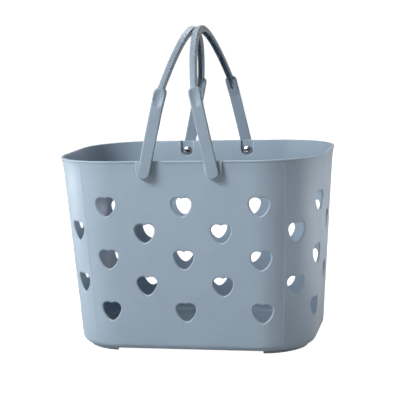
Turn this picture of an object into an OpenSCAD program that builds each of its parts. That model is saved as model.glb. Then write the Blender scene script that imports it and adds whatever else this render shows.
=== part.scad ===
// Shower caddy: a tapered oval basket with heart-shaped drain holes and two folding carrying handles.
// Millimetres, +Z up, origin at the centre of the footprint on the surface the feet stand on.
// X runs along the length, and Y runs across it.

/* [Basket] */
// Height of the rim above the surface that the feet stand on
basket_h = 203.5; // [190:0.5:220]
// Half of the outside length at the rim, without the lip
rim_half_l = 140.9; // [135:0.1:145]
// Half of the outside depth at the rim, without the lip
rim_half_d = 98.8; // [97:0.1:99]
// How much the half length shrinks from the rim to the base
taper_l = 14.2; // [8:0.1:18]
// How much the half depth shrinks from the rim to the base
taper_d = 12.8; // [8:0.1:16]
// Corner radius of the outline at the rim
rim_corner_r = 66.5; // [60:0.5:70]
// Corner radius of the outline at the base
base_corner_r = 54; // [48:0.5:60]
// Thickness of the wall and the floor
wall_t = 2; // [1.8:0.1:2.6]
// Radius of the rounding between the wall and the base
base_round = 7; // [5:0.5:12]
// Height over which the wall flares outwards below the rim
flare_h = 20; // [12:1:30]
// How far the wall flares outwards at the rim
flare_out = 1.3; // [0:0.1:1.6]
// Height of the bead along the rim
bead_h = 2; // [1:0.5:3]
// How far the bead stands proud of the flared wall
bead_out = 0.5; // [0.2:0.1:0.6]

/* [Feet] */
// Height of the corner feet below the base
foot_h = 3; // [2:0.5:6]
// Thickness of the corner feet
foot_t = 3; // [2:0.5:5]
// Distance from the outline of the wall to the outer face of a foot
foot_inset = 7.5; // [5:0.5:8]
// Angle left free at each end of a corner foot
foot_end_angle = 6; // [2:1:20]

/* [Heart holes] */
// Height of the middle row of hearts
heart_mid_z = 99.8; // [96:0.1:104]
// Distance between two rows of hearts
heart_row_pitch = 27.8; // [26:0.1:29]
// Distance between two hearts of a row on the long walls
heart_col_pitch = 80; // [70:1:84]
// Radius of the two round lobes
heart_lobe_r = 6.2; // [5:0.1:7]
// Half of the distance between the centres of the lobes
heart_lobe_x = 4.2; // [3.5:0.1:5]
// Height of the centres of the lobes above the centre of the heart
heart_lobe_z = 3.9; // [3:0.1:5]
// Depth of the tip below the centre of the heart
heart_tip_z = 10.3; // [9:0.1:12]
// Angle round a corner of the hearts in the second and fourth rows
corner_heart_angle = 43; // [38:1:48]
// Angle round a corner of the end hearts in the first, third and fifth rows
end_heart_angle = 76.5; // [74:0.5:84]
// How far the end hearts of the second and fourth rows stand off the middle, forward on the left
end_heart_shift = 9; // [0:0.5:14]

/* [Pivots] */
// Distance of each handle pivot from the middle of the length
pivot_x = 35.5; // [35.5:0.5:40]
// Distance of the pivots below the rim
pivot_drop = 11.6; // [10:0.1:13]
// Half width of the recess that holds the screw head
recess_half_w = 7; // [6:0.5:8]
// Half width of the boss around the recess, at its outer face
boss_half_w = 8.8; // [8.8:0.1:12]
// How far the boss widens on each side towards the wall
boss_draft = 1; // [0.5:0.5:3]
// Distance of the outer face of the boss from the middle of the depth
boss_face_y = 101.6; // [101.6:0.1:103]
// Height of the round bottom's centre above the pivot
recess_rise = 1.3; // [0:0.1:2]
// Diameter of the pivot hole in the wall
pivot_hole_d = 7.6; // [6:0.1:9]
// Diameter of the handle's pivot boss
pivot_boss_d = 7.5; // [5.9:0.1:8.9]

/* [Handles] */
// Lean of the left handle from upright, where it rests against the right one
lean_left = 13.2; // [12:0.1:13.2]
// Lean of the right handle from upright
lean_right = 11.9; // [10:0.1:11.9]
// Width of the arms
arm_w = 12.6; // [12:0.1:14]
// Thickness of the arms
arm_t = 3.3; // [3:0.1:5]
// Gap between an arm and the outer face of its boss
arm_gap = 0.45; // [0.45:0.05:0.8]
// Power of the arm's inward curve: the higher, the closer the curve is to the shoulder
arm_curve_power = 2; // [2:0.5:4]
// How far an arm curves inwards from its pivot to its shoulder
arm_curve = 4.2; // [2:0.1:5]
// Distance from the pivot to the top of the shoulder
shoulder_r = 87.5; // [80:0.5:90]
// Radius of the top corners of the shoulder
shoulder_corner_r = 5.5; // [4:0.5:6]
// Distance from the pivot to the top of the grip
grip_top_r = 147.9; // [140:0.1:148]
// Width of the grip
grip_w = 6.4; // [5:0.1:6.5]
// Depth of the grip's channel section
grip_d = 7.5; // [6:0.5:10]
// Wall thickness of the channel
channel_t = 1.1; // [0.9:0.1:1.6]
// Distance from the pivot to the floor of the pocket that ends the channel
pocket_r = 72.5; // [66:0.5:76]

/* [Screws] */
// Diameter of the screw head
head_d = 10; // [8:0.5:11]
// Height of the screw head
head_h = 2.6; // [2:0.1:3]
// Width of the slot
slot_w = 1.4; // [1:0.1:2]
// Depth of the slot
slot_depth = 1.2; // [0.8:0.1:1.5]
// Diameter of the threaded shank
shank_d = 3.6; // [3:0.1:4]
// Length of the threaded shank
shank_l = 5.4; // [4:0.1:5.8]

/* [Hidden] */
plastic = "#9aafc2";
metal = "#c9ccd0";
past = 1;                    // how far a cutting shape runs past the surface it cuts
corner_steps = 12;           // steps round each corner of the outline
round_steps = 5;             // steps round the edge of the base
flare_steps = 4;             // steps up the flare
lobe_steps = 7;              // steps round each lobe of a heart
side_steps = 4;              // steps along each side of a heart
lobe_end_angle = 10;         // angle below level at which a lobe runs into the side of the heart
cut_l = 60;                  // length of the solid that cuts a heart
arch_steps = 20;             // steps along half of the grip
arm_steps = 12;              // steps along an arm
boss_steps = 2;              // steps down the sides of a pivot boss
boss_root = 3;               // how far the boss reaches into the wall
boss_end_gap = 0.2;          // how far the handle's boss runs past the wall
scoop_r = 9;                 // radius of the spindle that scoops the shoulder
scoop_half_l = 20;           // half length of that spindle
scoop_depth = 1.2;           // depth of the scoop
scoop_drop = 11.5;           // distance of the scoop's middle below the top of the shoulder
scoop_lean = 15;             // lean of the shoulder's outer face at the scoop
scoop_steps = 8;             // steps along half of the scoop
grip_step = 0.8;             // step between the outer faces of the shoulder and the grip
pocket_blend = 8;            // length over which the arm thickens below the pocket
head_rim_h = 1;              // height of the straight edge of the screw head
slot_turn = 10;              // turn of the screw's slot from level
$fn = 64;

pivot_z = basket_h - pivot_drop;
boss_wall_y = boss_face_y - wall_t;
arm_in_y = boss_face_y + arm_gap;
arm_out_y = arm_in_y + arm_t;
head_seat_y = boss_wall_y - boss_end_gap;
arch_half = arm_out_y - arm_curve - grip_step;
arch_drop = (grip_top_r - shoulder_r) / (arch_half * arch_half);

// ---------- basket ----------

// Share of the taper at height z: 0 at the base and 1 at the rim
function up(z) = (z - foot_h) / (basket_h - foot_h);

// Half length, half depth and corner radius of the plain wall at height z
function half_l(z) = rim_half_l - taper_l * (1 - up(z));
function half_d(z) = rim_half_d - taper_d * (1 - up(z));
function corner_r(z) = base_corner_r + (rim_corner_r - base_corner_r) * up(z);

// Outward offset of the flare at height z
function flare(z) = let(t = (z - basket_h + flare_h) / flare_h) t > 0 ? flare_out * t * t : 0;

// Closed outline at height z, moved outwards by off
function outline(z, off) = let(
        r = corner_r(z) + off,
        cx = half_l(z) + off - r,
        cy = half_d(z) + off - r)
    [for (q = [0:3], i = [0:corner_steps])
        let(a = 90 * q + 90 * i / corner_steps)
        [(q == 0 || q == 3 ? cx : -cx) + r * cos(a), (q < 2 ? cy : -cy) + r * sin(a), z]];

// Levels of the shell's skin, as [height, offset], for a skin that lies t inside the outer one
function skin_levels(t, bottom, top) = let(r = base_round - t) concat(
    [for (i = [0:round_steps]) let(a = 90 * i / round_steps)
        [bottom + r - r * cos(a), r * sin(a) - r - t]],
    [for (i = [0:flare_steps]) let(z = basket_h - flare_h + i * (flare_h - bead_h) / flare_steps)
        [z, flare(z) - t]],
    [[basket_h - bead_h, flare(basket_h) + (t > 0 ? 0 : bead_out) - t],
        [top, flare(basket_h) + (t > 0 ? 0 : bead_out) - t]]);

// A closed solid through the outlines at the given levels
module loft(levels) {
    n = 4 * (corner_steps + 1);
    m = len(levels);
    points = [for (l = levels) each outline(l[0], l[1])];
    sides = [for (k = [0:m - 2], i = [0:n - 1]) let(j = (i + 1) % n)
        [k * n + i, (k + 1) * n + i, (k + 1) * n + j, k * n + j]];
    polyhedron(points, concat([[for (i = [0:n - 1]) i]], sides,
        [[for (i = [n - 1:-1:0]) (m - 1) * n + i]]));
}

// How much larger than the lobe's the radius of the arc from the lobe to the tip is.
// The arc meets the lobe without a kink.
function heart_side_k() = let(
        nx = cos(lobe_end_angle),
        nz = sin(lobe_end_angle),
        dz = heart_lobe_z + heart_tip_z)
    (heart_lobe_x * heart_lobe_x + dz * dz - heart_lobe_r * heart_lobe_r)
        / (2 * (heart_lobe_r + heart_lobe_x * nx - dz * nz));

// Right half of the heart's outline, from the tip up to the notch
function heart_half() = let(
        k = heart_side_k(),
        cx = heart_lobe_x - k * cos(lobe_end_angle),
        cz = heart_lobe_z + k * sin(lobe_end_angle),
        side_r = heart_lobe_r + k,
        tip_a = atan2(-heart_tip_z - cz, -cx),
        notch_a = 180 - acos(heart_lobe_x / heart_lobe_r))
    concat(
        [for (i = [0:side_steps - 1])
            let(a = tip_a + (-lobe_end_angle - tip_a) * i / side_steps)
            [cx + side_r * cos(a), cz + side_r * sin(a)]],
        [for (i = [0:lobe_steps])
            let(a = -lobe_end_angle + (notch_a + lobe_end_angle) * i / lobe_steps)
            [heart_lobe_x + heart_lobe_r * cos(a), heart_lobe_z + heart_lobe_r * sin(a)]]);

module heart() {
    half = heart_half();
    n = len(half);
    polygon(concat(half, [for (i = [n - 2:-1:1]) [-half[i][0], half[i][1]]]));
}

// Cuts one heart at height z through the wall that faces the given direction from [x, y]
module heart_cut(x, y, z, facing) {
    translate([x, y, z]) rotate([0, 0, facing]) rotate([90, 0, 90])
        translate([0, 0, -cut_l / 2]) linear_extrude(cut_l) heart();
}

// Cuts a heart at the given angle round all four corners
module corner_hearts(z, angle) {
    r = corner_r(z);
    x = half_l(z) - r + r * sin(angle);
    y = half_d(z) - r + r * cos(angle);
    for (sx = [-1, 1], sy = [-1, 1])
        heart_cut(sx * x, sy * y, z, atan2(sy * cos(angle), sx * sin(angle)));
}

module heart_rows() {
    for (row = [-2:2]) {
        z = heart_mid_z - row * heart_row_pitch;
        full = row % 2 == 0;
        columns = full ? [-1, 0, 1] : [-0.5, 0.5];
        for (column = columns, sy = [-1, 1])
            heart_cut(column * heart_col_pitch, sy * half_d(z), z, sy * 90);
        corner_hearts(z, full ? end_heart_angle : corner_heart_angle);
        if (!full)
            for (sx = [-1, 1])
                heart_cut(sx * half_l(z), sx * end_heart_shift, z, sx > 0 ? 0 : 180);
    }
}

// Outline of a pivot boss or recess in the wall's plane, open at the rim
module pivot_u(half_w, top) {
    intersection() {
        translate([0, recess_rise]) circle(half_w);
        translate([-half_w, recess_rise - half_w]) square([2 * half_w, half_w]);
    }
    translate([-half_w, recess_rise]) square([2 * half_w, top - recess_rise]);
}

// The raised boss around one pivot, with sides that step down to the wall
module pivot_boss() {
    for (i = [0:boss_steps])
        rotate([90, 0, 0]) translate([0, 0, boss_wall_y - boss_root])
            linear_extrude(wall_t + boss_root - i * boss_draft / boss_steps)
                pivot_u(boss_half_w + i * boss_draft / boss_steps, pivot_drop);
}

// Everything that is cut for one pivot: the recess for the screw head and the pivot hole
module pivot_cut() {
    rotate([90, 0, 0]) translate([0, 0, half_d(pivot_z) - 2 * wall_t - past])
        linear_extrude(boss_wall_y - half_d(pivot_z) + 2 * wall_t + past)
            pivot_u(recess_half_w, pivot_drop + past);
    rotate([90, 0, 0]) translate([0, 0, boss_wall_y - past])
        cylinder(h = wall_t + 2 * past, d = pivot_hole_d);
}

// Places its child at each of the four pivots, turned so that outwards is -Y
module at_pivots() {
    for (sx = [-1, 1], turn = [0, 180])
        rotate([0, 0, turn]) translate([sx * pivot_x, 0, pivot_z]) children();
}

// A curved skirt under each corner of the base
module feet() {
    r = base_corner_r - foot_inset;
    cx = half_l(foot_h) - base_corner_r;
    cy = half_d(foot_h) - base_corner_r;
    for (sx = [-1, 1], sy = [-1, 1])
        mirror([sx < 0 ? 1 : 0, 0, 0]) mirror([0, sy < 0 ? 1 : 0, 0])
            translate([cx, cy, 0]) rotate([0, 0, foot_end_angle])
                rotate_extrude(angle = 90 - 2 * foot_end_angle)
                    translate([r - foot_t, 0]) square([foot_t, foot_h + wall_t / 2]);
}

module basket() {
    color(plastic) difference() {
        union() {
            loft(skin_levels(0, foot_h, basket_h));
            at_pivots() pivot_boss();
            feet();
        }
        loft(skin_levels(wall_t, foot_h + wall_t, basket_h + past));
        at_pivots() pivot_cut();
        heart_rows();
    }
}

// ---------- handles ----------
// A handle is drawn upright, with its pivot line along Y through the origin.

// Inward curve of an arm at the distance r up from the pivot
function arm_in(r) = arm_curve * pow(max(0, r) / shoulder_r, arm_curve_power);

// Point of the grip's outer arch at the distance y from the middle, moved inwards by t.
// The arch is a parabola.
function arch_point(y, t) = let(
        slope = -2 * arch_drop * y,
        n = sqrt(1 + slope * slope))
    [y + t * slope / n, grip_top_r - arch_drop * y * y - t / n];

// Region between two offsets of the arch, from one shoulder to the other
module arch_band(t0, t1) {
    outer = [for (i = [-arch_steps:arch_steps]) arch_point(arch_half * i / arch_steps, t0)];
    inner = [for (i = [arch_steps:-1:-arch_steps]) arch_point(arch_half * i / arch_steps, t1)];
    polygon(concat(outer, inner));
}

// Thickness of an arm at the distance r up from the pivot: it thickens towards the shoulder
function arm_thick(r) = let(low = pocket_r - pocket_blend)
    arm_t + (grip_d - arm_t) * max(0, (r - low) / (shoulder_r - low));

// Side view of one arm with its shoulder, on the +Y side
module arm_side() {
    rs = concat([-arm_w / 2], [for (i = [0:arm_steps]) shoulder_r * i / arm_steps]);
    polygon(concat(
        [for (r = rs) [arm_out_y - arm_in(r), r]],
        [for (i = [arm_steps + 1:-1:0]) [arm_out_y - arm_in(rs[i]) - arm_thick(rs[i]), rs[i]]]));
}

// Front view of an arm: round at the pivot, with rounded corners at the shoulder
module arm_front() {
    circle(d = arm_w);
    translate([-arm_w / 2, 0]) square([arm_w, shoulder_r - shoulder_corner_r]);
    for (s = [-1, 1])
        translate([s * (arm_w / 2 - shoulder_corner_r), shoulder_r - shoulder_corner_r])
            circle(shoulder_corner_r);
    translate([shoulder_corner_r - arm_w / 2, 0])
        square([arm_w - 2 * shoulder_corner_r, shoulder_r]);
}

// Turns a drawing of the side view, with Y to the right, into a solid of width w
module side_solid(w) {
    rotate([90, 0, 90]) translate([0, 0, -w / 2]) linear_extrude(w) children();
}

// Long spindle that scoops the outer face of the shoulder
module scoop() {
    arc_r = (scoop_half_l * scoop_half_l + scoop_r * scoop_r) / (2 * scoop_r);
    end_a = asin(scoop_half_l / arc_r);
    rotate_extrude()
        polygon([for (i = [-scoop_steps:scoop_steps]) let(a = end_a * i / scoop_steps)
            [max(0, arc_r * (cos(a) - cos(end_a))), arc_r * sin(a)]]);
}

module arm() {
    difference() {
        union() {
            intersection() {
                side_solid(arm_w) arm_side();
                rotate([90, 0, 0]) translate([0, 0, -arm_out_y - past])
                    linear_extrude(arm_out_y + past) arm_front();
            }
            rotate([-90, 0, 0]) translate([0, 0, head_seat_y])
                cylinder(h = arm_in_y - head_seat_y + past, d = pivot_boss_d);
        }
        rotate([-90, 0, 0]) translate([0, 0, head_seat_y - past])
            cylinder(h = shank_l + past, d = shank_d);
        translate([0, arm_out_y - arm_in(shoulder_r - scoop_drop) + scoop_r - scoop_depth,
            shoulder_r - scoop_drop]) rotate([scoop_lean, 0, 0]) scoop();
    }
}

module handle() {
    color(plastic) difference() {
        union() {
            arm();
            mirror([0, 1, 0]) arm();
            side_solid(grip_w) arch_band(0, grip_d);
        }
        side_solid(grip_w - 2 * channel_t) channel();
    }
}

// Side view of the hollow inside the grip, which ends in a pocket at each shoulder
module channel() {
    arch_band(channel_t, grip_d + past);
    rs = [for (i = [0:arm_steps]) pocket_r + (shoulder_r - pocket_r) * i / arm_steps];
    wall_in = grip_step + channel_t;
    for (side = [-1, 1])
        polygon(concat(
            [for (r = rs) [side * (arm_out_y - arm_in(r) - wall_in), r]],
            [for (i = [arm_steps:-1:0])
                [side * (arm_out_y - arm_in(rs[i]) - grip_d - past), rs[i]]]));
}

// Moves an upright handle or screw to the pivots of one side
module at_handle(side) {
    lean = side < 0 ? lean_left : -lean_right;
    translate([side * pivot_x, 0, pivot_z]) rotate([0, lean, 0]) children();
}

// ---------- screws ----------

// Slotted pan-head screw along +Y, whose head seats on the boss of the handle
module screw() {
    dome_h = head_h - head_rim_h;
    dome_r = (head_d * head_d / 4 + dome_h * dome_h) / (2 * dome_h);
    color(metal) translate([0, head_seat_y, 0]) {
        difference() {
            intersection() {
                rotate([90, 0, 0]) cylinder(h = head_h, d = head_d);
                translate([0, dome_r - head_h, 0]) sphere(dome_r);
            }
            rotate([0, slot_turn, 0]) translate([-head_d, -head_h - past, -slot_w / 2])
                cube([2 * head_d, slot_depth + past, slot_w]);
        }
        rotate([-90, 0, 0]) cylinder(h = shank_l, d = shank_d);
    }
}

basket();
at_handle(-1) handle();  // handle_left
at_handle(1) handle();  // handle_right
at_handle(-1) mirror([0, 1, 0]) screw();  // screw_front_left
at_handle(1) mirror([0, 1, 0]) screw();  // screw_front_right
at_handle(-1) screw();  // screw_back_left
at_handle(1) screw();  // screw_back_right
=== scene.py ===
import math

import bmesh
import bpy
import numpy as np
from mathutils import Matrix, Vector
from mathutils.geometry import delaunay_2d_cdt


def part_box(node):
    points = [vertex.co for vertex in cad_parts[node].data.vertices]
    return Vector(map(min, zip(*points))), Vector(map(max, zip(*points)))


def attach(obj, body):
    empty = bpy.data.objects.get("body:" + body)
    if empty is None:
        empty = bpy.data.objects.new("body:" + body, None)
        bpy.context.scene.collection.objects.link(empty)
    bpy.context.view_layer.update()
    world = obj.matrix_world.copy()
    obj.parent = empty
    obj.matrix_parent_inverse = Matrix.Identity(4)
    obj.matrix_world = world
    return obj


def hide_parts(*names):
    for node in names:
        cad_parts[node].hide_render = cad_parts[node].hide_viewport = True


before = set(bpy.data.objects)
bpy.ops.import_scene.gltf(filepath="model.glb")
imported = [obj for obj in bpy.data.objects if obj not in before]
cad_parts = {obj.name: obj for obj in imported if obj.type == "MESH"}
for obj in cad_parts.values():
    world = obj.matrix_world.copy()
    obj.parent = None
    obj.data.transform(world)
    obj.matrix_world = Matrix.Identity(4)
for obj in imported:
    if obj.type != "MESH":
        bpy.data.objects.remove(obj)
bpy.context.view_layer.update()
MM = 0.001

# ---------- sizes of the CAD model, in millimetres ----------
basket_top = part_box("basket")[1]
BASKET_H = basket_top.z / MM
BOSS_Y = basket_top.y / MM           # outer face of the pivot bosses
RIM_L, RIM_D = 140.9, 98.8           # half the length and half the depth at the rim
TAPER_L, TAPER_D = 14.2, 12.8
R_RIM, R_BASE = 66.5, 54.0
WALL, ROUND = 2.0, 7.0
FLARE_H, FLARE_OUT = 20.0, 1.3       # the wall leans out by this much over its last part
BEAD_H, BEAD_OUT = 2.0, 0.5
FOOT_H, FOOT_T, FOOT_INSET, FOOT_FREE = 3.0, 3.0, 7.5, 6.0
HEART_Z, ROW, COL = 99.8, 27.8, 80.0
LOBE_R, LOBE_X, LOBE_Z, TIP_Z = 6.2, 4.2, 3.9, 10.3
CORNER_HEART, END_HEART, END_SHIFT = 43.0, 76.5, 9.0
PIVOT_X, PIVOT_Z = 35.5, BASKET_H - 11.6
RECESS_RISE = 1.3
HOLE_R = 3.8
LEAN = {-1: 13.2, 1: -11.9}          # degrees, for the handles on the left and on the right
ARM_W, ARM_T, ARM_CURVE = 12.6, 3.3, 4.2
SHOULDER_R, SHOULDER_CORNER = 87.5, 5.5
GRIP_TOP, GRIP_W, GRIP_D, CHANNEL_T = 147.9, 6.4, 7.5, 1.1
POCKET_R, POCKET_BLEND = 72.5, 8.0
POCKET_HALF_W = GRIP_W / 2 - CHANNEL_T
ARM_IN = BOSS_Y + 0.45
ARM_OUT = ARM_IN + ARM_T
GRIP_STEP = 0.8
ARCH_HALF = ARM_OUT - ARM_CURVE - GRIP_STEP
ARCH_DROP = (GRIP_TOP - SHOULDER_R) / ARCH_HALF**2
HEAD_SEAT = BOSS_Y - WALL - 0.2
HEAD_D, HEAD_H, HEAD_RIM = 10.0, 2.6, 1.0
SLOT_W, SLOT_DEPTH = 2.0, 1.2        # the CAD's slot is 1.4 wide
SLOT_TURN = {-1: 2.0, 1: -5.0}       # degrees, for the screws on the left and on the right
BOSS_R, BOSS_TIP_R = 3.75, 3.5       # the arm's running boss, and its softened end
SHANK_R, SHANK_TIP_R = 1.8, 1.4
SHANK_L = 5.4
LOBE_END = 10.0                      # angle below level at which a lobe runs into the side

# ---------- fineness and softened edges, in millimetres ----------
GRID, GRID_ROW = 4.2, 4.2 * 0.87     # distance between the wall's loose points, and their rows
KEEP_OFF = 1.3                       # how far loose points stay off the lines around them
SEAM_GAP, U_GAP = 1.0, 0.7           # how far columns stay off those lines
BASE_TURNS = (90, 78, 66, 54, 42, 30, 18, 8, 0)
HEART_BEVEL, HEART_BEVEL_DEPTH = 1.15, 1.05
HEART_EDGE_IN = 0.35
HEART_RINGS = (0.0, 0.12, 0.3, 0.6, 0.9, 1.2, 1.5, 2.1)
RIM_EDGE = 1.05
BEAD_FOOT = 0.9                      # height over which the bead stands out from the wall
RECESS_LINES = [5.6, 6.4, 6.7, 7.0, 7.3, 7.8]
RECESS_FROM, RECESS_BLEND = 6.45, 0.95
BOSS_LINES = [8.3, 8.7, 9.1, 9.5, 9.9, 10.5]
BOSS_FROM, BOSS_BLEND = 8.5, 1.5
SEAM_ANGLE, SEAM_W, SEAM_H = 29.6, 0.8, 0.36
SEAM_LINES = (-1.6, -1.0, -0.8, -0.4, 0.0, 0.4, 0.8, 1.0, 1.6)
SEAM_FADE = 3.0                      # height over which a parting line starts, above the base
SEAM_STEPS, U_STEPS, HOLE_STEPS = 45, 29, 28
HOLE_RINGS = (0.0, 0.3, 1.0)
FOOT_SOFT = 0.7
ARM_RINGS = (0.0, 0.08, 0.25, 0.55, 0.95, 1.35, 1.75)
ARM_EDGE, ARM_EDGE_IN = 1.35, 0.6
ARM_COARSE, ARM_FINE = (1.5, 1.6), 0.8  # distance between an arm's loose points, (x, r)
FLANKS = (-0.25, 0.0, 0.2, 0.45, 0.8)  # lines along the pocket's sides
POCKET_SIDE, POCKET_END = 0.4, 0.5   # how far the pocket's walls slope
SCOOP_R, SCOOP_L, SCOOP_W, SCOOP_DEPTH = 76.5, 9.5, 5.2, 1.4
GRIP_ROUND, GRIP_ROUND_IN = 1.5, 0.7
ARCH_STEPS, BOSS_STEPS, SHANK_STEPS, HEAD_STEPS = 97, 40, 24, 56
HEAD_RINGS = (0.0, 0.08, 0.2, 0.4, 0.7)
HEAD_EDGE, HEAD_EDGE_DROP = 0.6, 0.8
SLOT_LINES, SLOT_LINES_W = (0.45, 0.6, 0.7, 0.78, 0.95), 1.4  # lines for a slot of that width
MERGE, SLIVER = 0.00001, 0.000005    # metres
ON_LINE = 0.01                       # how far off a line a point still counts as on it

# ---------- closed shells from flat triangulations ----------


def smooth(t):
    """Smooth step from 0 to 1."""
    t = np.clip(t, 0.0, 1.0)
    return t * t * (3 - 2 * t)


def rounded(d, radius):
    """How far a rounded edge lies below its face at the distance d from the edge."""
    t = np.clip(1 - d / radius, 0, 1)
    return radius * (1 - np.sqrt(1 - t * t))


def inside(points, loop):
    """Which points lie inside the closed loop."""
    x, y = points[:, 0][:, None], points[:, 1][:, None]
    a, b = loop, np.roll(loop, -1, axis=0)
    crosses = (a[:, 1] > y) != (b[:, 1] > y)
    dy = np.where(np.abs(b[:, 1] - a[:, 1]) < 1e-12, 1e-12, b[:, 1] - a[:, 1])
    at = (b[:, 0] - a[:, 0]) * (y - a[:, 1]) / dy + a[:, 0]
    return (np.count_nonzero(crosses & (x < at), axis=1) % 2) == 1


FAR = 99.0                           # edge distance of a point that lies on no ring


def triangulate(lines, points, holes, outline=None):
    """Flat triangles through fixed lines and loose points, without those in holes or outside.

    lines: list of (points, closed, distance from the edge).
    Returns points, triangles and distances."""
    co, edges, dist = [], [], []
    for line, closed, d in lines:
        start, n = len(co), len(line)
        co.extend(map(tuple, line))
        dist.extend([d] * n)
        edges += [(start + i, start + (i + 1) % n) for i in range(n if closed else n - 1)]
    co.extend(map(tuple, points))
    dist.extend([FAR] * len(points))
    out = delaunay_2d_cdt([Vector(c) for c in co], edges, [], 0, 1e-5)
    flat = np.array([tuple(v) for v in out[0]])
    tris = np.array([tuple(f) for f in out[2]], dtype=int)
    far = np.array([min([dist[i] for i in src], default=FAR) for src in out[3]])
    middle = flat[tris].mean(axis=1)
    keep = np.ones(len(tris), bool)
    for hole in holes:
        lo, hi = hole.min(axis=0), hole.max(axis=0)
        near = np.nonzero(((middle > lo) & (middle < hi)).all(axis=1))[0]
        if len(near):
            keep[near[inside(middle[near], hole)]] = False
    if outline is not None:
        keep &= inside(middle, outline)
    return flat, tris[keep], far


def border(tris):
    """Directed edges that only one triangle has."""
    seen = {(t[i], t[(i + 1) % 3]) for t in map(tuple, tris) for i in range(3)}
    return [e for e in seen if (e[1], e[0]) not in seen]


class Build:
    """Collects closed shells, in millimetres, and turns them into one object."""

    def __init__(self):
        self.verts, self.faces = [], []

    def add(self, verts, faces):
        start = len(self.verts)
        self.verts.extend(map(tuple, np.asarray(verts, float)))
        self.faces.extend(tuple(int(i) + start for i in f) for f in faces)

    def plate(self, flat, tris, front, back):
        """A shell between two skins over the same triangles, joined along every border."""
        n = len(flat)
        faces = [tuple(t) for t in tris] + [(t[2] + n, t[1] + n, t[0] + n) for t in tris]
        faces += [(b, a, a + n, b + n) for a, b in border(tris)]
        self.add(np.concatenate([front, back]), faces)

    def loft(self, rings):
        """A shell through closed rings of equal length, with a cap at each end."""
        n, m = len(rings[0]), len(rings)
        faces = [tuple(range(n))[::-1], tuple(range((m - 1) * n, m * n))]
        faces += [(k * n + i, k * n + (i + 1) % n, (k + 1) * n + (i + 1) % n, (k + 1) * n + i)
                  for k in range(m - 1) for i in range(n)]
        self.add(np.concatenate(rings), faces)

    def object(self, name, material):
        """The finished object, welded and smooth, in metres."""
        mesh = bpy.data.meshes.new(name)
        mesh.from_pydata([tuple(c * MM for c in v) for v in self.verts], [], self.faces)
        bm = bmesh.new()
        bm.from_mesh(mesh)
        bmesh.ops.remove_doubles(bm, verts=bm.verts, dist=MERGE)
        bmesh.ops.dissolve_degenerate(bm, edges=bm.edges, dist=SLIVER)
        loose = [v for v in bm.verts if not v.link_faces]
        bmesh.ops.delete(bm, geom=loose, context="VERTS")
        bmesh.ops.recalc_face_normals(bm, faces=bm.faces)
        for f in bm.faces:
            f.smooth = True
        bm.to_mesh(mesh)
        bm.free()
        obj = bpy.data.objects.new(name, mesh)
        bpy.context.scene.collection.objects.link(obj)
        mesh.materials.append(material)
        return obj


def circle(radius, steps, centre=(0.0, 0.0)):
    """Points round a circle, counterclockwise."""
    a = np.linspace(0, 2 * math.pi, steps, endpoint=False)
    return np.stack([centre[0] + radius * np.cos(a), centre[1] + radius * np.sin(a)], 1)


# ---------- materials ----------


class Shader:
    """Shader nodes of a material or of the world."""

    def __init__(self, owner):
        owner.use_nodes = True
        self.nodes, self.links = owner.node_tree.nodes, owner.node_tree.links

    def surface(self):
        """Starts a material afresh, and returns its only shader."""
        self.nodes.clear()
        shader = self.node("BsdfPrincipled")
        self.node("OutputMaterial", {"Surface": shader.outputs[0]})
        return shader

    def feed(self, node, values):
        """Sets each input, or links it if its value is another node's output."""
        for key, value in values.items():
            if isinstance(value, bpy.types.NodeSocket):
                self.links.new(value, node.inputs[key])
            else:
                node.inputs[key].default_value = value

    def node(self, kind, values=None, **settings):
        """A new node, with its settings and its inputs' values."""
        node = self.nodes.new("ShaderNode" + kind)
        for key, value in settings.items():
            setattr(node, key, value)
        self.feed(node, values or {})
        return node

    def noise(self, scale, detail, roughness=0.5):
        """Noise fixed to the object, scale per metre."""
        coord = self.node("TexCoord").outputs["Object"]
        return self.node("TexNoise", {"Vector": coord, "Scale": scale, "Detail": detail,
                                      "Roughness": roughness}).outputs["Fac"]

    def ramp(self, source, low, high, a, b, shape="LINEAR"):
        """a where the source is low, b where it is high."""
        return self.node("MapRange", {"Value": source, "From Min": low, "From Max": high,
                                      "To Min": a, "To Max": b},
                         interpolation_type=shape).outputs["Result"]

    def mix(self, factor, a, b):
        """A colour between a and b."""
        return self.node("Mix", {"Factor": factor, "A": (*a, 1), "B": (*b, 1)},
                         data_type="RGBA").outputs["Result"]

    def shade(self, colour, factor):
        """The colour times the factor."""
        return self.node("VectorMath", {0: colour, "Scale": factor}, operation="SCALE").outputs[0]

    def bump(self, height, strength, distance, under=None):
        """Bump from a height, on top of an earlier bump if there is one."""
        values = {"Height": height, "Strength": strength, "Distance": distance}
        if under is not None:
            values["Normal"] = under
        return self.node("Bump", values).outputs["Normal"]


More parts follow.
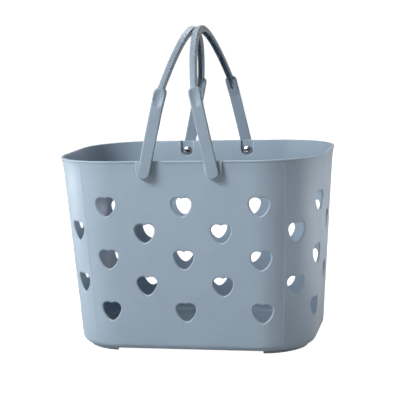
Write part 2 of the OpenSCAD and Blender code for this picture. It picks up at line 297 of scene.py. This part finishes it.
def plastic(name, base, rough, streak):
    """Satin moulded polypropylene: faint cloudiness and flow, fine grain, and a painted highlight
    that makes sharp outer edges paler.
    """
    m = bpy.data.materials.new(name)
    shader = Shader(m)
    bsdf = shader.surface()
    cloud, flow = shader.noise(14, 3), shader.noise(streak, 4, 0.6)
    fine, scuff = shader.noise(900, 2), shader.noise(60, 5, 0.65)
    # painted highlight: pointiness makes the colour up to 16% paler on sharp outer edges, as if
    # they caught the light
    painted_edge_highlight = shader.node("NewGeometry").outputs["Pointiness"]
    cool = (base[0] * 0.97, base[1] * 0.985, base[2])
    warm = (base[0] * 1.03, base[1] * 1.01, base[2] * 0.99)
    colour = shader.mix(cloud, cool, warm)
    for source, low, high, dark, pale in ((flow, 0.3, 0.7, 0.975, 1.02),
                                          (fine, 0.3, 0.7, 0.985, 1.015),
                                          (painted_edge_highlight, 0.52, 0.60, 1.0, 1.16)):
        colour = shader.shade(colour, shader.ramp(source, low, high, dark, pale))
    wave = shader.bump(flow, 0.25, 0.0008)
    shader.feed(bsdf, {
        "Base Color": colour,
        "Roughness": shader.ramp(scuff, 0.3, 0.75, rough - 0.05, rough + 0.07),
        "Normal": shader.bump(fine, 0.08, 0.0002, wave),
        "IOR": 1.49,
        "Subsurface Weight": 0.08,
        "Subsurface Radius": (0.004, 0.0045, 0.005),
        "Subsurface Scale": 1.0})
    return m


def plated_steel(name):
    """A bright screw: light scuffs, duller spots, and painted shade in the slot and other
    hollows, darkened by ambient occlusion.
    """
    m = bpy.data.materials.new(name)
    shader = Shader(m)
    bsdf = shader.surface()
    spots, scuff = shader.noise(260, 2), shader.noise(700, 4)
    # painted shade: ambient occlusion darkens the screw's colour in its slot and other hollows,
    # where shade falls
    occlusion_for_painted_shade = shader.node("AmbientOcclusion", {"Distance": 0.002}, only_local=True, samples=16)
    painted_slot_shade = shader.ramp(occlusion_for_painted_shade.outputs["AO"], 0.75, 0.97, 0.03, 1.0)
    colour = shader.mix(spots, (0.40, 0.41, 0.43), (0.60, 0.61, 0.63))
    shader.feed(bsdf, {
        "Base Color": shader.shade(colour, painted_slot_shade),
        "Roughness": shader.ramp(scuff, 0.3, 0.7, 0.26, 0.38),
        "Normal": shader.bump(scuff, 0.05, 0.0001),
        "Metallic": 1.0})
    return m


BASKET_BLUE = (0.272, 0.349, 0.428)
HANDLE_BLUE = (0.228, 0.293, 0.362)
basket_plastic = plastic("moulded_blue_grey", BASKET_BLUE, 0.46, 40)
handle_plastic = plastic("moulded_blue_grey_handle", HANDLE_BLUE, 0.40, 55)
screw_metal = plated_steel("bright_plated_steel")

# ---------- the basket ----------
# The wall is laid out flat: f runs round the basket and v up it. Both skins share the triangles.


def up(z):
    """0 at the foot of the wall, 1 at the rim."""
    return (z - FOOT_H) / (BASKET_H - FOOT_H)


def corner_r(z):
    """Radius of the outline's corners at height z."""
    return R_BASE + (R_RIM - R_BASE) * up(z)


def half_d(z):
    """Half the depth of the basket at height z."""
    return RIM_D - TAPER_D * (1 - up(z))


def straight(z):
    """Half lengths of the outline's straight parts at height z, along X and along Y."""
    return RIM_L - TAPER_L * (1 - up(z)) - corner_r(z), half_d(z) - corner_r(z)


TRUE_Z = 100.0                       # the height at which f is a true length
CX, CY = straight(TRUE_Z)
CR = corner_r(TRUE_Z)
BEND = CR * math.pi / 2
# s starts in the middle of the +X end and runs towards +Y; odd stretches are the corners
STOPS = np.cumsum([0, CY, BEND, 2 * CX, BEND, 2 * CY, BEND, 2 * CX, BEND, CY])
AROUND = STOPS[-1]
CUT_X = -16.0                        # the flat layout is cut here, on the +Y wall, between holes
S_CUT = STOPS[2] + CX - CUT_X


def plan(f, z, off):
    """Points of the outline at height z, moved outwards by off."""
    s = np.mod(f + S_CUT, AROUND)
    k = np.clip(np.searchsorted(STOPS, s, side="right") - 1, 0, 8)
    t = s - STOPS[k]
    r = corner_r(z) + off
    cx, cy = straight(z)
    facing = np.radians(90.0 * (k // 2))
    a = np.where(k % 2 == 1, facing + t / CR, facing)
    tx, ty = t * cx / CX, t * cy / CY
    ex = np.choose(k, [cx, cx, cx - tx, -cx, -cx, -cx, -cx + tx, cx, cx])
    ey = np.choose(k, [ty, cy, cy, cy, cy - ty, -cy, -cy, -cy, -cy + ty])
    return ex + r * np.cos(a), ey + r * np.sin(a)


def on_long_wall(x, v, side):
    """Flat position of the true x at height v, on that long wall and into its corners."""
    cx = straight(v)[0]
    over = np.abs(x) - cx
    r = corner_r(v)
    bend = CR * np.arcsin(np.clip(over / r, -0.9, 0.9))
    flat = np.sign(x) * np.where(over > 0, CX + bend, np.abs(x) * CX / cx)
    s = STOPS[2] + CX - flat if side > 0 else STOPS[6] + CX + flat
    return np.mod(s - S_CUT, AROUND)


def in_corner(quarter, angle):
    """Flat position of a direction in a corner; the quarters run counterclockwise from +X +Y."""
    s = STOPS[1 + 2 * quarter] + CR * math.radians(angle - 90 * quarter)
    return np.mod(s - S_CUT, AROUND)


def corner_angle(quarter, from_long_wall):
    """Direction in a corner at an angle from its long wall's."""
    return 90 * quarter + (90 - from_long_wall if quarter % 2 == 0 else from_long_wall)


def heart(grow, side_steps=8, lobe_steps=16):
    """The heart's outline, moved outwards by grow."""
    la = math.radians(LOBE_END)
    dz = LOBE_Z + TIP_Z
    reach = LOBE_R + LOBE_X * math.cos(la) - dz * math.sin(la)
    k = (LOBE_X**2 + dz**2 - LOBE_R**2) / (2 * reach)
    cx, cz = LOBE_X - k * math.cos(la), LOBE_Z + k * math.sin(la)
    side_r, lobe_r = LOBE_R + k + grow, LOBE_R + grow
    tip = math.atan2(-math.sqrt(side_r**2 - cx**2), -cx)
    notch = math.pi - math.acos(LOBE_X / lobe_r)
    half = [(cx + side_r * math.cos(a), cz + side_r * math.sin(a))
            for a in np.linspace(tip, -la, side_steps + 1)[:-1]]
    half += [(LOBE_X + lobe_r * math.cos(a), LOBE_Z + lobe_r * math.sin(a))
             for a in np.linspace(-la, notch, lobe_steps + 1)]
    return np.array(half + [(-x, z) for x, z in half[-2:0:-1]])


def blunt(loop, rounds):
    """Takes the point off the tip and the notch of a heart's outline."""
    for _ in range(rounds):
        near = (np.roll(loop, 1, axis=0) + np.roll(loop, -1, axis=0)) / 2
        bend = np.linalg.norm(near - loop, axis=1)
        loop = loop + (near - loop) * np.where(bend > 0.25, 0.45, 0.0)[:, None]
    return loop


def heart_places():
    """Every heart as (x, side, z) on a long wall, or (flat position, 0, z) elsewhere."""
    places = []
    for row in range(-2, 3):
        z = HEART_Z - row * ROW
        full = row % 2 == 0
        for side in (-1, 1):
            places += [(x, side, z) for x in ([-COL, 0.0, COL] if full else [-COL / 2, COL / 2])]
        for quarter in range(4):
            a = corner_angle(quarter, END_HEART if full else CORNER_HEART)
            places.append((in_corner(quarter, a), 0, z))
        if not full:
            places += [(np.mod(END_SHIFT + far - S_CUT, AROUND), 0, z) for far in (0, AROUND / 2)]
    return places


def on_wall(place, loop):
    """Lays a flat loop on the wall, at one place."""
    at, side, z = place
    v = z + loop[:, 1]
    if side:
        return np.stack([on_long_wall(at - side * loop[:, 0], v, side), v], 1)
    r = corner_r(v)
    return np.stack([at + CR * np.arcsin(loop[:, 0] / r), v], 1)


def u_measure(x, z):
    """Half width of the U-shaped line through a point: straight above, round below."""
    low = z - (PIVOT_Z + RECESS_RISE)
    return np.where(low < 0, np.hypot(x, low), np.abs(x))


def u_line(half_w, top):
    """A U-shaped line about a pivot at x = 0."""
    zc = PIVOT_Z + RECESS_RISE
    rise = np.linspace(top, zc, 6)[:-1]
    arc = [(half_w * math.cos(a), zc - half_w * math.sin(a))
           for a in np.linspace(0, math.pi, U_STEPS)]
    return np.array([(half_w, z) for z in rise] + arc + [(-half_w, z) for z in rise[::-1]])


V0 = FOOT_H + ROUND                  # below this, v runs along the rounding of the base
V_MIN = V0 - ROUND * math.pi / 2
LIP_Z = BASKET_H - BEAD_H
WALL_TOP = LIP_Z - BEAD_FOOT         # the highest row below the bead
V_TOP = BASKET_H - RIM_EDGE
seams = [in_corner(q, corner_angle(q, SEAM_ANGLE)) for q in range(4)]
pivots = [(sx, side) for sx in (-1, 1) for side in (-1, 1)]


def skin(f, v, inner, edge_d):
    """Points of the outer or inner skin of the wall."""
    t = WALL if inner else 0.0
    turn = np.clip((V0 - v) / ROUND, 0, math.pi / 2)
    r = ROUND - t
    z = np.where(v < V0, FOOT_H + t + r - r * np.sin(turn), v)
    off = np.where(v < V0, r * np.cos(turn) - r, 0.0) - t
    flare = np.clip((z - (BASKET_H - FLARE_H)) / FLARE_H, 0, 1)
    off = off + FLARE_OUT * flare**2
    if not inner:
        off = off + BEAD_OUT * smooth((v - LIP_Z + BEAD_FOOT / 2) / BEAD_FOOT)
        for c in seams:
            ridge = (1 - smooth(np.abs(f - c) / SEAM_W)) * smooth((v - V0) / SEAM_FADE)
            off = off + SEAM_H * ridge * (v < WALL_TOP)
    x, y = plan(f, z, off)
    face = (BOSS_Y - WALL if inner else BOSS_Y) - half_d(z)
    for sx, side in pivots:
        u = np.where(y * side > 0, u_measure(x - sx * PIVOT_X, z), FAR)
        if inner:
            w = 1 - smooth((u - RECESS_FROM) / RECESS_BLEND)
        else:
            w = 1 - smooth((u - BOSS_FROM) / BOSS_BLEND)
        off = off + np.maximum(face - off, 0) * w
    if inner:
        off = off + rounded(edge_d, HEART_EDGE_IN)
    else:
        off = off - HEART_BEVEL_DEPTH * np.clip(1 - edge_d / HEART_BEVEL, 0, 1) ** 1.3
    x, y = plan(f, z, off)
    return np.stack([x, y, z], 1)


def level(at, v):
    """A flat line at the height v."""
    return np.stack([at, np.full(len(at), v)], 1), False, FAR


def upright(c, v):
    """A flat line at the distance c round the basket."""
    return np.stack([np.full(len(v), c), v], 1), False, FAR


def clear_of(zones, points, keep):
    """Drops the points that lie inside any of the zones."""
    for zone in zones:
        lo, hi = zone.min(axis=0), zone.max(axis=0)
        near = np.nonzero(keep & ((points > lo) & (points < hi)).all(axis=1))[0]
        if len(near):
            keep[near[inside(points[near], zone)]] = False
    return points[keep]


def wall_layout():
    """Fixed lines, holes and loose points of the flat wall."""
    lines, holes, blocked = [], [], []
    columns = np.linspace(0, AROUND, int(AROUND / GRID) + 1)
    ridge = [c + q for c in seams for q in SEAM_LINES]
    u_ends = []
    for sx, side in pivots:
        for u in RECESS_LINES + BOSS_LINES:
            x = np.array([sx * PIVOT_X - u, sx * PIVOT_X + u])
            u_ends += list(on_long_wall(x, WALL_TOP, side))
    plain = [c for c in columns if min(abs(c - r) for r in ridge) > SEAM_GAP]
    low_row = np.array(sorted(plain + ridge))
    off_u = [c for c in plain if min(abs(c - u) for u in u_ends) > U_GAP]
    high_row = np.array(sorted(off_u + ridge + u_ends))
    lines += [level(low_row, V0 - ROUND * math.radians(a)) for a in BASE_TURNS]
    bead = [LIP_Z + q * BEAD_FOOT for q in (-1 / 2, -1 / 6, 1 / 6, 1 / 2)]
    lines += [level(high_row, v) for v in [WALL_TOP] + bead + [V_TOP]]
    lines += [upright(c, np.linspace(V0, WALL_TOP, SEAM_STEPS)) for c in ridge]
    for place in heart_places():
        for d in HEART_RINGS:
            line = on_wall(place, blunt(heart(d), 2))
            lines.append((line, True, d))
            if d == 0:
                holes.append(line)
        blocked.append(on_wall(place, heart(HEART_RINGS[-1] + KEEP_OFF)))
    for sx, side in pivots:
        for u in RECESS_LINES + BOSS_LINES:
            lines.append((on_wall((sx * PIVOT_X, side, 0), u_line(u, WALL_TOP)), False, FAR))
        for d in HOLE_RINGS:
            loop = circle(HOLE_R + d, HOLE_STEPS, (0, PIVOT_Z))
            lines.append((on_wall((sx * PIVOT_X, side, 0), loop), True, FAR))
            if d == 0:
                holes.append(lines[-1][0])
        zone = u_line(BOSS_LINES[-1] + 1.2, WALL_TOP + 1)
        blocked.append(on_wall((sx * PIVOT_X, side, 0), zone))
    free = []
    for i, v in enumerate(np.arange(V0 + GRID, WALL_TOP - GRID / 2, GRID_ROW)):
        at = columns[:-1] + (GRID / 2 if i % 2 else 0.0)
        free.append(level(at[(at > GRID / 3) & (at < AROUND - GRID / 3)], v)[0])
    sides = np.concatenate([[V0], np.arange(V0 + GRID, WALL_TOP - GRID / 2, GRID), [WALL_TOP]])
    lines += [upright(end, sides) for end in (0.0, AROUND)]
    free = np.concatenate(free)
    keep = np.min(np.abs(free[:, :1] - np.array(ridge)[None, :]), axis=1) > KEEP_OFF
    return lines, holes, clear_of(blocked, free, keep)


def build_basket():
    """Both skins of the wall and the floor, the rim between them, and the feet."""
    lines, holes, free = wall_layout()
    flat, tris, edge_d = triangulate(lines, free, holes)
    f, v = flat[:, 0], flat[:, 1]
    n = len(flat)
    outer, inner = skin(f, v, False, edge_d), skin(f, v, True, edge_d)
    faces = [tuple(t) for t in tris] + [(t[2] + n, t[1] + n, t[0] + n) for t in tris]
    for a, b in border(tris):
        on_end = max(f[a], f[b]) < ON_LINE or min(f[a], f[b]) > AROUND - ON_LINE
        on_row = max(v[a], v[b]) < V_MIN + ON_LINE or min(v[a], v[b]) > V_TOP - ON_LINE
        if not on_end and not on_row:
            faces.append((b, a, a + n, b + n))
    verts = [outer, inner]
    total = 2 * n

    def edge_loop(height):
        ring = sorted(np.nonzero(np.abs(v - height) < ON_LINE)[0], key=lambda i: f[i])
        return ring[:-1]             # the last point is the first one again

    low, high = edge_loop(V_MIN), edge_loop(V_TOP)
    faces.append(tuple(low))
    faces.append(tuple(i + n for i in low))
    # the rounded rim between the two skins
    out_p, in_p = outer[high], inner[high]
    across = in_p - out_p
    width = np.linalg.norm(across, axis=1)[:, None]
    across = across / width
    rings = [np.array(high)]
    arc = [math.radians(a) for a in (22, 45, 67, 90)]
    profile = [(RIM_EDGE * (1 - math.cos(a)), RIM_EDGE * math.sin(a), from_inner)
               for from_inner, angles in ((False, arc), (True, arc[::-1])) for a in angles]
    for inset, rise, from_inner in profile:
        inset = np.minimum(inset, width * 0.49)
        p = in_p - across * inset if from_inner else out_p + across * inset
        verts.append(p + np.array([0, 0, rise]))
        rings.append(np.arange(total, total + len(high)))
        total += len(high)
    rings.append(np.array(high) + n)
    for a, b in zip(rings[:-1], rings[1:]):
        m = len(a)
        faces += [(a[i], a[(i + 1) % m], b[(i + 1) % m], b[i]) for i in range(m)]
    build = Build()
    build.add(np.concatenate(verts), faces)
    add_feet(build)
    return build.object("basket_shell", basket_plastic)


def add_feet(build):
    """A curved skirt with softened edges under each corner."""
    cx, cy = straight(FOOT_H)
    mid_r = R_BASE - FOOT_INSET - FOOT_T / 2
    ends = [math.radians(FOOT_FREE), math.radians(90 - FOOT_FREE)]
    trim = FOOT_T / 2 / mid_r
    for sx in (-1, 1):
        for sy in (-1, 1):
            rings = []
            for h, inset in [(FOOT_H + 1, 0), (FOOT_SOFT, 0), (FOOT_SOFT * 0.4, FOOT_SOFT * 0.2),
                             (FOOT_SOFT * 0.1, FOOT_SOFT * 0.55), (0.0, FOOT_SOFT)]:
                w = FOOT_T / 2 - inset
                a = np.linspace(ends[0] + trim, ends[1] - trim, 25)
                loop = [(mid_r + w, t) for t in a]
                loop += [(mid_r + w * math.cos(b), a[-1] + w * math.sin(b) / mid_r)
                         for b in np.linspace(0, math.pi, 9)[1:-1]]
                loop += [(mid_r - w, t) for t in a[::-1]]
                loop += [(mid_r - w * math.cos(b), a[0] - w * math.sin(b) / mid_r)
                         for b in np.linspace(0, math.pi, 9)[1:-1]]
                loop = np.array(loop)
                x = sx * (cx + loop[:, 0] * np.cos(loop[:, 1]))
                y = sy * (cy + loop[:, 0] * np.sin(loop[:, 1]))
                rings.append(np.stack([x, y, np.full(len(x), h)], 1))
            build.loft(rings)


basket = build_basket()
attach(basket, "basket")
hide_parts("basket")

# ---------- handles ----------
# A handle is made upright, as (x, y, r) with r up from the pivot, then leaned.


def arm_in(r):
    """How far an arm curves inwards at the distance r up from the pivot."""
    return ARM_CURVE * (np.clip(r, 0, None) / SHOULDER_R) ** 2


def arch(y, t):
    """Point of the grip at y, at the depth t below its outer face."""
    slope = -2 * ARCH_DROP * y
    n = np.sqrt(1 + slope * slope)
    return y + t * slope / n, GRIP_TOP - ARCH_DROP * y * y - t / n


def lean(points, side):
    """Puts upright points on that side's pivot, at the handle's lean."""
    a = math.radians(LEAN[side])
    x, y, r = np.asarray(points, float).T
    return np.stack([side * PIVOT_X + x * math.cos(a) + r * math.sin(a), y,
                     PIVOT_Z - x * math.sin(a) + r * math.cos(a)], 1)


def tombstone(inset):
    """The arm's front outline: round below and with rounded corners at the top."""
    w = ARM_W / 2 - inset
    c = SHOULDER_CORNER - inset
    top = SHOULDER_R - inset
    low = [(w * math.sin(a), -w * math.cos(a))
           for a in np.linspace(-math.pi / 2, math.pi / 2, 25)]
    rise = [(w, r) for r in np.linspace(0, top - c, 26)[1:-1]]
    turn = [(w - c + c * math.cos(a), top - c + c * math.sin(a))
            for a in np.linspace(0, math.pi / 2, 10)]
    across = [(x, top) for x in np.linspace(w - c, -(w - c), 4)[1:-1]]
    back = [(-x, r) for x, r in (rise + turn)[::-1]]
    return np.array(low + rise + turn + across + back)


def scooped(x, r):
    """Depth of the long dish in the outer face of the shoulder."""
    reach = np.hypot(x / SCOOP_W, (r - SCOOP_R) / SCOOP_L)
    return SCOOP_DEPTH * np.clip(1 - reach**2, 0, 1)


def pocketed(x, r):
    """1 inside the pocket that ends the grip's channel, 0 outside."""
    side = 1 - smooth((np.abs(x) - POCKET_HALF_W) / POCKET_SIDE)
    return side * smooth((r - POCKET_R) / POCKET_END + 0.5)


def peg(build, side, end, profile, steps):
    """A round peg along the pivot, through circles of (distance from the middle, radius)."""
    rings = []
    for y, radius in profile:
        loop = circle(radius, steps)
        rings.append(lean(np.stack([loop[:, 0], np.full(steps, end * y), loop[:, 1]], 1), side))
    build.loft(rings)


def build_arm(build, side, end):
    """One arm with its shoulder, on the front (-1) or the back (1)."""
    lines, free = [(tombstone(d), True, d) for d in ARM_RINGS], []
    top = SHOULDER_R - ARM_RINGS[-1] - 0.5
    flanks = [POCKET_HALF_W + d for d in FLANKS]
    for u in flanks:
        bottom = POCKET_R - (u - POCKET_HALF_W)
        down = np.linspace(top, bottom, 17)
        line = [(-u, r) for r in down] + [(x, bottom) for x in np.linspace(-u, u, 7)[1:-1]]
        lines.append((np.array(line + [(u, r) for r in down[::-1]]), False, FAR))
    outline = tombstone(0.0)
    dish_foot = SCOOP_R - SCOOP_L - 1
    dx, dr = ARM_COARSE
    for i, r in enumerate(np.arange(-4, dish_foot, dr)):
        for x in np.arange(-4.5, 4.6, dx) + (0.4 if i % 2 else -0.35):
            if math.hypot(x, min(r, 0)) < ARM_W / 2 - 1.8:
                free.append((x, r))
    for r in np.arange(dish_foot, SHOULDER_R - 2, ARM_FINE):
        for x in np.arange(-4.4, 4.5, ARM_FINE):
            clear = np.hypot(outline[:, 0] - x, outline[:, 1] - r).min() > ARM_RINGS[-1] + 0.1
            if clear and min(abs(abs(x) - u) for u in flanks) > 0.12:
                free.append((x, r))
    flat, tris, d = triangulate(lines, np.array(free), [], outline)
    x, r = flat[:, 0], flat[:, 1]
    face = ARM_OUT - arm_in(r)
    thick = ARM_T + (GRIP_D - ARM_T) * np.clip(
        (r - POCKET_R + POCKET_BLEND) / (SHOULDER_R - POCKET_R + POCKET_BLEND), 0, None)
    front = face - rounded(d, ARM_EDGE) - scooped(x, r)
    back = face - thick + rounded(d, ARM_EDGE_IN)
    deep = face - GRIP_STEP - CHANNEL_T
    back = back + np.maximum(deep - back, 0) * pocketed(x, r)
    build.plate(flat, tris, lean(np.stack([x, end * front, r], 1), side),
                lean(np.stack([x, end * back, r], 1), side))
    # the running boss, which turns in the basket's wall
    boss = [(ARM_IN + 1.0, BOSS_R), (HEAD_SEAT + 0.3, BOSS_R), (HEAD_SEAT, BOSS_TIP_R)]
    peg(build, side, end, boss, BOSS_STEPS)


def channel_section():
    """The grip's cross-section as (x, t): a channel, open towards the middle of the handle."""
    w, wi, t = GRIP_W / 2, POCKET_HALF_W, CHANNEL_T
    r_out, r_in, r_end = GRIP_ROUND, GRIP_ROUND_IN, t / 2 * 0.95

    def arc(x, d, rx, rd, start, end, steps):
        return [(x + rx * math.cos(math.radians(a)), d - rd * math.sin(math.radians(a)))
                for a in np.linspace(start, end, steps)]

    pts = arc(w - r_out, r_out, r_out, r_out, 90, 0, 7) + [(w, GRIP_D * 0.5)]
    pts += arc(w - t / 2, GRIP_D - r_end, t / 2, -r_end, 0, 180, 7) + [(wi, GRIP_D * 0.5)]
    pts += arc(wi - r_in, t + r_in, r_in, r_in, 0, 90, 4)
    return np.array(pts + [(-x, d) for x, d in pts[::-1]])


def build_handle(side, name):
    """Two arms and the arched grip between their shoulders."""
    build = Build()
    for end in (-1, 1):
        build_arm(build, side, end)
    section = channel_section()
    rings = []
    # the cross-sections are closer together towards the ends of the arch
    for y in ARCH_HALF * np.sin(np.linspace(-1, 1, ARCH_STEPS) * math.pi / 2 * 0.999):
        py, pr = arch(y, section[:, 1])
        rings.append(lean(np.stack([section[:, 0], py, pr], 1), side))
    build.loft(rings)
    return build.object(name, handle_plastic)


for side, word in ((-1, "left"), (1, "right")):
    handle = build_handle(side, "handle_%s_moulding" % word)
    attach(handle, word + "_handle")
    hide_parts("handle_" + word)

# ---------- screws ----------


def build_screw(side, end, name):
    """A slotted domed head on a plain shank, its head inside the wall."""
    build = Build()
    radius = HEAD_D / 2
    dome = HEAD_H - HEAD_RIM
    dome_r = (radius**2 + dome**2) / (2 * dome)
    lines = [(circle(radius - d, HEAD_STEPS), True, d) for d in HEAD_RINGS]
    for b in SLOT_LINES:
        b = b * SLOT_W / SLOT_LINES_W
        reach = math.sqrt((radius - 0.75) ** 2 - b**2)
        lines += [level(np.linspace(-reach, reach, 21), q * b) for q in (-1, 1)]
    free = [(x, y) for x in np.arange(-4, 4.1, 0.8) for y in np.arange(-4, 4.1, 0.8)
            if math.hypot(x, y) < radius - 1.2 and abs(y) > 1.3]
    flat, tris, _ = triangulate(lines, np.array(free), [], circle(radius, HEAD_STEPS))
    a, b = flat[:, 0], flat[:, 1]
    rho = np.hypot(a, b)
    h = HEAD_RIM + np.sqrt(dome_r**2 - rho**2) - (dome_r - dome)
    h = h - rounded(radius - rho, HEAD_EDGE) * HEAD_EDGE_DROP
    floor = HEAD_H - SLOT_DEPTH
    cut = 1 - smooth((np.abs(b) - SLOT_W * 0.43) / (SLOT_W * 0.14))
    h = h - np.maximum(h - floor, 0) * cut
    turn = math.radians(SLOT_TURN[side])
    x = a * math.cos(turn) + b * math.sin(turn)
    r = -a * math.sin(turn) + b * math.cos(turn)

    def place(height):
        return lean(np.stack([x, end * (HEAD_SEAT - height), r], 1), side)

    build.plate(flat, tris, place(h), place(np.zeros(len(a))))
    shank = [(HEAD_SEAT - 0.2, SHANK_R), (HEAD_SEAT + SHANK_L - 0.4, SHANK_R),
             (HEAD_SEAT + SHANK_L, SHANK_TIP_R)]
    peg(build, side, end, shank, SHANK_STEPS)
    return build.object(name, screw_metal)


for side, word in ((-1, "left"), (1, "right")):
    for end, where in ((-1, "front"), (1, "back")):
        node = "screw_%s_%s" % (where, word)
        screw = build_screw(side, end, node + "_slotted")
        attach(screw, word + "_handle")
        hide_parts(node)

# ---------- floor, light and camera ----------


def stage_mesh(name, rings, base, glow):
    """A round stage surface through rings of (radius, height); it may glow."""
    n = 96
    verts = [(r * math.cos(2 * math.pi * i / n), r * math.sin(2 * math.pi * i / n), z)
             for r, z in rings for i in range(n)]
    faces = [tuple(range(n))]
    faces += [(k * n + i, (k + 1) * n + i, (k + 1) * n + (i + 1) % n, k * n + (i + 1) % n)
              for k in range(len(rings) - 1) for i in range(n)]
    mesh = bpy.data.meshes.new(name)
    mesh.from_pydata(verts, [], faces)
    m = bpy.data.materials.new(name)
    shader = Shader(m)
    shader.feed(shader.surface(), {
        "Base Color": (base, base, base, 1), "Roughness": 0.9, "Specular IOR Level": 0.0,
        "Emission Color": (1, 1, 1, 1), "Emission Strength": glow})
    mesh.materials.append(m)
    obj = bpy.data.objects.new(name, mesh)
    bpy.context.scene.collection.objects.link(obj)
    return obj


def add_stage():
    """A plain white floor and cove that only the camera sees, over a floor that bounces light."""
    flat, bend, height = 4.0, 2.0, 9.0
    cove = [(flat, 0.0)]
    cove += [(flat + bend * math.sin(a), bend - bend * math.cos(a))
             for a in np.linspace(0.1, math.pi / 2, 10)]
    cove += [(flat + bend, height)]
    seen = stage_mesh("white_floor_and_cove", cove, 0.22, 1.0)
    seen.visible_diffuse = seen.visible_glossy = seen.visible_shadow = False
    bounce = stage_mesh("floor_bounce", [(flat, -0.0003)], 0.55, 0.0)
    bounce.visible_camera = bounce.visible_glossy = False


add_stage()


def area(name, at, aim, size, strength, spread=180):
    """A soft light at one point, turned to another; the camera doesn't see it.

    strength is what reaches the point it is turned to, however far away it stands."""
    at, aim = Vector(at), Vector(aim)
    data = bpy.data.lights.new(name, "AREA")
    data.shape = "RECTANGLE"
    data.size, data.size_y = size
    data.energy = strength * (math.pi * (at - aim).length) ** 2
    data.spread = math.radians(spread)
    obj = bpy.data.objects.new(name, data)
    obj.location = at
    obj.rotation_mode = "QUATERNION"
    obj.rotation_quaternion = (aim - at).to_track_quat("-Z", "Y")
    obj.visible_camera = False
    bpy.context.scene.collection.objects.link(obj)


def around(azimuth, height, away=1.4):
    """A point round the object; azimuth 0 is in front, and 90 is on the right."""
    a = math.radians(azimuth)
    return away * math.sin(a), -away * math.cos(a), height


CENTRE = (0.0, 0.0, 0.15)
# name, place, what it is turned to, size, strength
area("key_left", around(-43, 1.15), CENTRE, (0.7, 0.7), 1.2)
area("side_left", around(-100, 0.15), CENTRE, (0.7, 0.5), 0.55)
area("top", around(-30, 4.0), CENTRE, (1.6, 1.6), 0.1)
area("back_top", around(165, 1.9), CENTRE, (2.0, 1.2), 0.55)
area("front_low", around(8, 0.0), CENTRE, (0.8, 0.5), 0.06)
area("side_right", around(112, 0.13), (0, 0, 0.13), (0.8, 0.2), 0.019, 10)  # a narrow beam


def pale_room():
    """A bright wall behind the object, and dimmer, slightly warm light from elsewhere."""
    world = bpy.data.worlds.new("pale_room")
    shader = Shader(world)
    coord = shader.node("TexCoord").outputs["Generated"]
    split = shader.node("SeparateXYZ", {0: coord}).outputs
    behind = shader.ramp(split["Y"], 0.35, 0.9, 0.0, 0.5, "SMOOTHSTEP")
    low = shader.ramp(split["Z"], 0.3, 0.8, 1.0, 0.1, "SMOOTHSTEP")
    wall = shader.node("Math", {0: behind, 1: low}, operation="MULTIPLY").outputs[0]
    total = shader.node("Math", {0: wall, 1: 0.115}, operation="ADD").outputs[0]
    shader.feed(shader.nodes["Background"], {"Strength": total, "Color": (1, 0.91, 0.83, 1)})
    bpy.context.scene.world = world


pale_room()
bpy.context.scene.view_settings.view_transform = "Standard"


def add_camera():
    """The photograph's viewing angle, with the camera's small roll."""
    camera = bpy.data.cameras.new("camera")
    camera.sensor_width = 36.0
    camera.lens = 111.6
    camera.clip_start, camera.clip_end = 0.05, 100
    eye = Vector((0.28436, -1.3044, 0.3476))
    aim = Vector((-0.00102, 0.0, 0.1485))
    roll = math.radians(-1.875)
    forward = (aim - eye).normalized()
    right = forward.cross(Vector((0, 0, 1))).normalized()
    above = right.cross(forward)
    right, above = (right * math.cos(roll) + above * math.sin(roll),
                    above * math.cos(roll) - right * math.sin(roll))
    turn = Matrix((right, above, -forward)).transposed()
    obj = bpy.data.objects.new("camera", camera)
    obj.matrix_world = Matrix.Translation(eye) @ turn.to_4x4()
    bpy.context.scene.collection.objects.link(obj)
    bpy.context.scene.camera = obj


add_camera()
